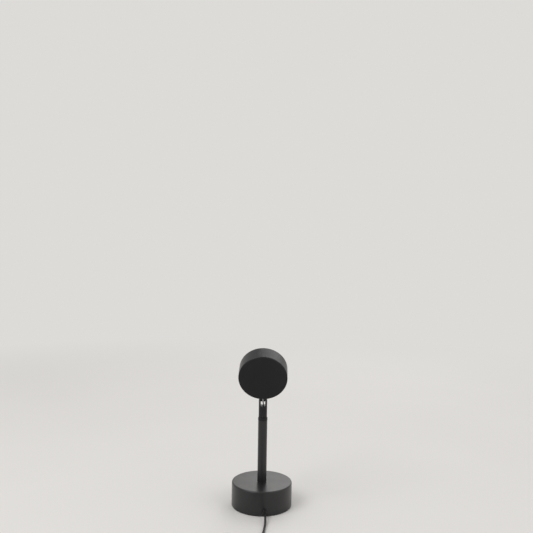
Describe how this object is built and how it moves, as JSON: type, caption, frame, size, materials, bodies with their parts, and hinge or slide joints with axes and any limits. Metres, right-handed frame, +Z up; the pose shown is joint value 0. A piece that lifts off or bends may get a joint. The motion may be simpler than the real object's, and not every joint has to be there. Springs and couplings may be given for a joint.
{
  "type": "sunset projection lamp",
  "caption": "Table lamp with a weighted round base, a straight pole and a tilting drum head that projects a coloured disc of light.",
  "frame": {"origin": "centre of the base on the table", "axes": "+Z up along the pole, +Y the way the beam points, the lead leaves towards -Y"},
  "size_m": [0.0999, 0.2755, 0.2502],
  "materials": {
    "black_paint": "satin black paint",
    "black_anodised": "satin black, anodised",
    "cast_iron": "raw casting",
    "zinc_steel": "zinc plated",
    "black_screw": "black oxide",
    "brass": "turned",
    "bare_aluminium": "turned",
    "circuit_board": "solder mask",
    "white_board": "white solder mask",
    "component_plastic": "moulded",
    "phosphor": "yellow phosphor",
    "black_plastic": "moulded",
    "washer_plastic": "moulded nylon",
    "pad_rubber": "foam rubber",
    "gasket_rubber": "moulded",
    "lens_glass": "polished",
    "filter_coating": "dichroic coating",
    "cord_pvc": "satin jacket",
    "core_pvc": "insulated core",
    "plug_metal": "nickel plated",
    "contact_gold": "gold plated",
    "button_plastic": "moulded"
  },
  "bodies": {
    "base": {"base_ballast": "cast_iron", "base_plate": "zinc_steel", "base_plate_screws": "zinc_steel", "base_shell": "black_paint", "cord_coil": "cord_pvc", "cord_lead": "cord_pvc", "cord_relief": "cord_pvc", "cord_stop": "zinc_steel", "driver_board": "circuit_board", "driver_board_screws": "zinc_steel", "driver_parts": "component_plastic", "driver_terminals": "component_plastic", "foot_pad": "pad_rubber", "inner_cord": "cord_pvc", "nipple_nut": "zinc_steel", "nipple_washer": "zinc_steel", "plug_body": "cord_pvc", "plug_contacts": "contact_gold", "plug_insert": "black_plastic", "plug_shell": "plug_metal", "pole_foot_bush": "brass", "pole_lead": "cord_pvc", "pole_nipple": "zinc_steel", "pole_tube": "black_paint", "stop_pin": "zinc_steel", "switch_board": "circuit_board", "switch_case_lower": "black_plastic", "switch_case_upper": "black_plastic", "switch_core": "component_plastic", "switch_screws": "zinc_steel", "swivel_seat": "black_anodised"},
    "neck": {"neck_fork": "black_anodised", "pivot_screws": "black_screw", "friction_washers": "washer_plastic", "neck_stud": "zinc_steel", "spring_washer": "zinc_steel", "neck_nut": "zinc_steel", "neck_lead": "cord_pvc"},
    "head": {"head_knuckle": "black_anodised", "stem_saddle_washer": "bare_aluminium", "stem_nut": "zinc_steel", "head_shell": "black_anodised", "heat_sink": "bare_aluminium", "heat_sink_screws": "zinc_steel", "holder_screws": "zinc_steel", "led_board": "white_board", "led_board_screws": "zinc_steel", "led_emitter": "phosphor", "light_cone": "black_plastic", "colour_filter": "filter_coating", "filter_spacer": "washer_plastic", "optic_holder": "black_plastic", "lens": "lens_glass", "lens_gasket": "gasket_rubber", "front_bezel": "black_anodised", "head_leads": "core_pvc"},
    "button": {"switch_button": "button_plastic"}
  },
  "joints": [
    {"name": "neck_pan", "type": "hinge", "parent": "base", "child": "neck", "pos_m": [0, 0, 0.1383], "axis": [0, 0, 1], "range_deg": [-160, 160]},
    {"name": "head_tilt", "type": "hinge", "parent": "neck", "child": "head", "pos_m": [0, 0, 0.1678], "axis": [1, 0, 0], "range_deg": [-112, 68], "deforming": ["neck_lead"]},
    {"name": "switch_press", "type": "slide", "parent": "base", "child": "button", "axis": [0, 0, -1], "range_m": [0, 0.0012], "stiffness_N_per_m": 400}
  ]
}
